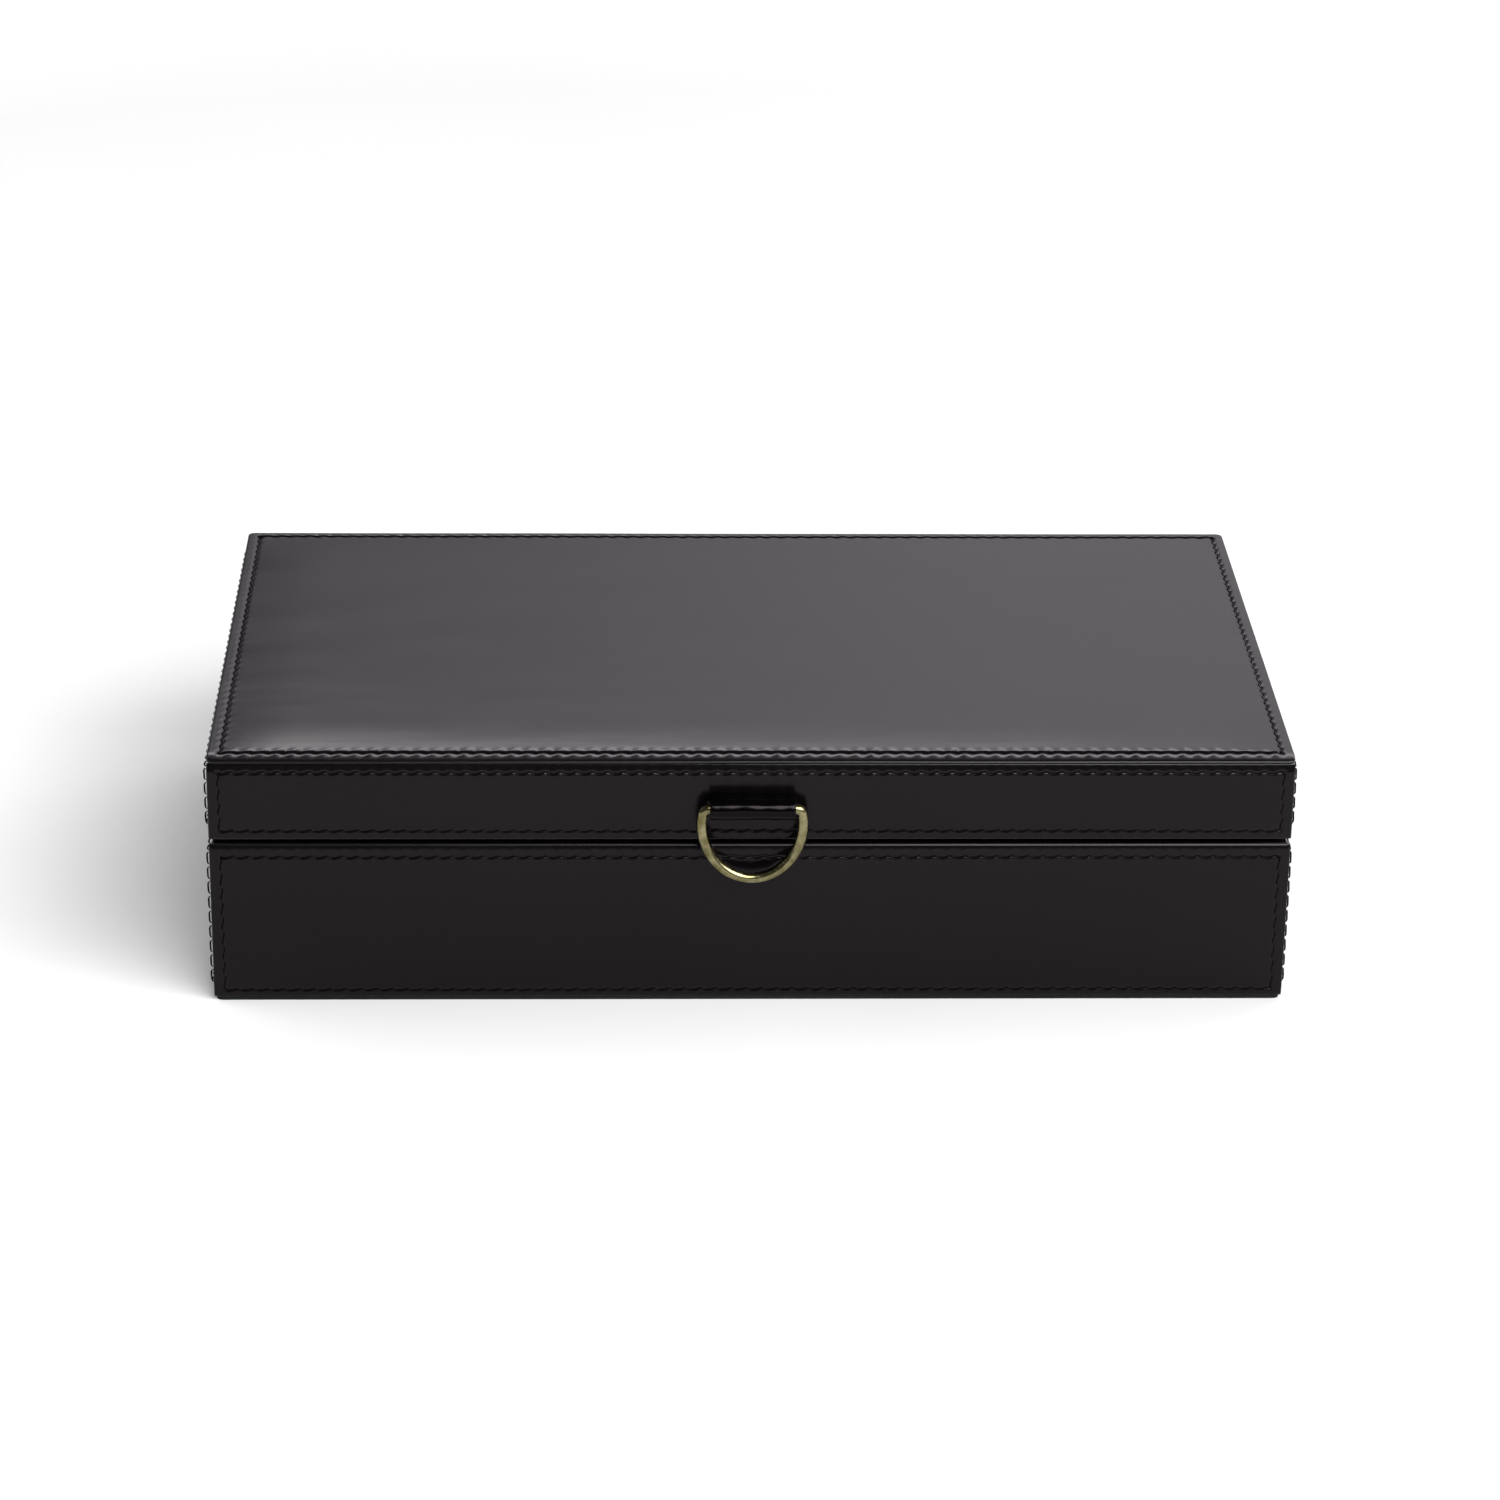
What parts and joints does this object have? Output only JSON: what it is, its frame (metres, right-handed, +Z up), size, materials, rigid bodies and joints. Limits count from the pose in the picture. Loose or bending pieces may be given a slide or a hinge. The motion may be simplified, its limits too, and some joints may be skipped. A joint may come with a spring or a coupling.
{
  "type": "poker chip case",
  "caption": "Leather-covered hinged box with a padded lid, a D-ring pull, fitted chip racks and a tray for cards and dice.",
  "frame": {"origin": "centre of the bottom face, on the surface the case stands on", "axes": "+X along the case's longest side, +Y to the hinges at the back, +Z up through the lid; the front with the pull faces -Y"},
  "size_m": [0.318, 0.1932, 0.0785],
  "materials": {
    "black_leather": "black pebbled leather, semi-gloss, with black edge paint",
    "core_board": "sanded fibreboard core",
    "lining_suede": "charcoal suede lining",
    "bottom_felt": "black felt",
    "antique_brass": "antique brass, darkened, rubbed bright on the edges",
    "magnet_nickel": "nickel-plated magnet"
  },
  "bodies": {
    "base": {"base_back_board": "core_board", "base_back_leather": "black_leather", "base_back_lining": "lining_suede", "base_bottom_board": "core_board", "base_bottom_cover": "bottom_felt", "base_floor_lining": "lining_suede", "base_front_board": "core_board", "base_front_leather": "black_leather", "base_front_lining": "lining_suede", "base_hinge_screw_1": "antique_brass", "base_hinge_screw_2": "antique_brass", "base_hinge_screw_3": "antique_brass", "base_hinge_screw_4": "antique_brass", "base_left_board": "core_board", "base_left_leather": "black_leather", "base_left_lining": "lining_suede", "base_left_magnet": "magnet_nickel", "base_right_board": "core_board", "base_right_leather": "black_leather", "base_right_lining": "lining_suede", "base_right_magnet": "magnet_nickel", "base_rim_binding": "black_leather", "card_tray": "lining_suede", "chip_rack_left": "lining_suede", "chip_rack_right": "lining_suede", "hinge_left_base_leaf": "antique_brass", "hinge_left_pin": "antique_brass", "hinge_right_base_leaf": "antique_brass", "hinge_right_pin": "antique_brass"},
    "lid": {"hinge_left_lid_leaf": "antique_brass", "hinge_right_lid_leaf": "antique_brass", "lid_back_board": "core_board", "lid_back_leather": "black_leather", "lid_back_lining": "lining_suede", "lid_ceiling_pad": "lining_suede", "lid_front_board": "core_board", "lid_front_leather": "black_leather", "lid_front_lining": "lining_suede", "lid_hinge_screw_1": "antique_brass", "lid_hinge_screw_2": "antique_brass", "lid_hinge_screw_3": "antique_brass", "lid_hinge_screw_4": "antique_brass", "lid_left_board": "core_board", "lid_left_leather": "black_leather", "lid_left_lining": "lining_suede", "lid_left_magnet": "magnet_nickel", "lid_right_board": "core_board", "lid_right_leather": "black_leather", "lid_right_lining": "lining_suede", "lid_right_magnet": "magnet_nickel", "lid_rim_binding": "black_leather", "lid_top_board": "core_board", "lid_top_leather": "black_leather", "pull_loop": "black_leather"},
    "pull_ring": {"pull_ring": "antique_brass"}
  },
  "joints": [
    {"name": "lid_hinge", "type": "hinge", "parent": "base", "child": "lid", "pos_m": [0, 0.0916, 0.05175], "axis": [-1, 0, 0], "range_deg": [0, 95]},
    {"name": "ring_swing", "type": "hinge", "parent": "lid", "child": "pull_ring", "pos_m": [0, -0.0957, 0.0646], "axis": [-1, 0, 0], "range_deg": [-6, 185]}
  ]
}
